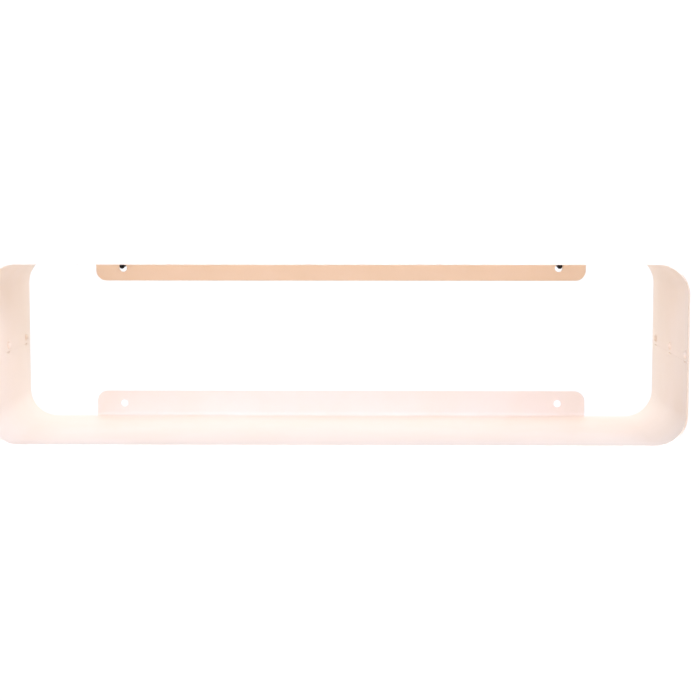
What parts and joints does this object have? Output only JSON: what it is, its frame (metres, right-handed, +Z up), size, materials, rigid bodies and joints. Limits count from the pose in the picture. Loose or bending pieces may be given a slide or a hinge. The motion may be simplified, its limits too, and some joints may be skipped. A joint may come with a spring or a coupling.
{
  "type": "wall shelf",
  "caption": "Open wall shelf: a rounded loop of bent sheet steel in pale pink powder coat, riveted from upper and lower shells, with rear flanges for wall screws.",
  "frame": {"origin": "on the wall plane, midway between the two lower wall holes", "axes": "+X to the right along the shelf, +Y into the wall, +Z up; the open front faces -Y"},
  "size_m": [0.603, 0.23, 0.157],
  "materials": {
    "shell_coat": "pale pink beige powder coat, fine satin texture",
    "rivet_coat": "pale pink beige powder coat over steel rivets",
    "screw_black": "black coated steel, semi gloss"
  },
  "bodies": {
    "root": {"upper_shell": "shell_coat", "lower_shell": "shell_coat", "rivet_left_front": "rivet_coat", "rivet_left_middle": "rivet_coat", "rivet_left_rear": "rivet_coat", "rivet_right_front": "rivet_coat", "rivet_right_middle": "rivet_coat", "rivet_right_rear": "rivet_coat", "wall_screw_left": "screw_black", "wall_screw_right": "screw_black"}
  },
  "joints": []
}
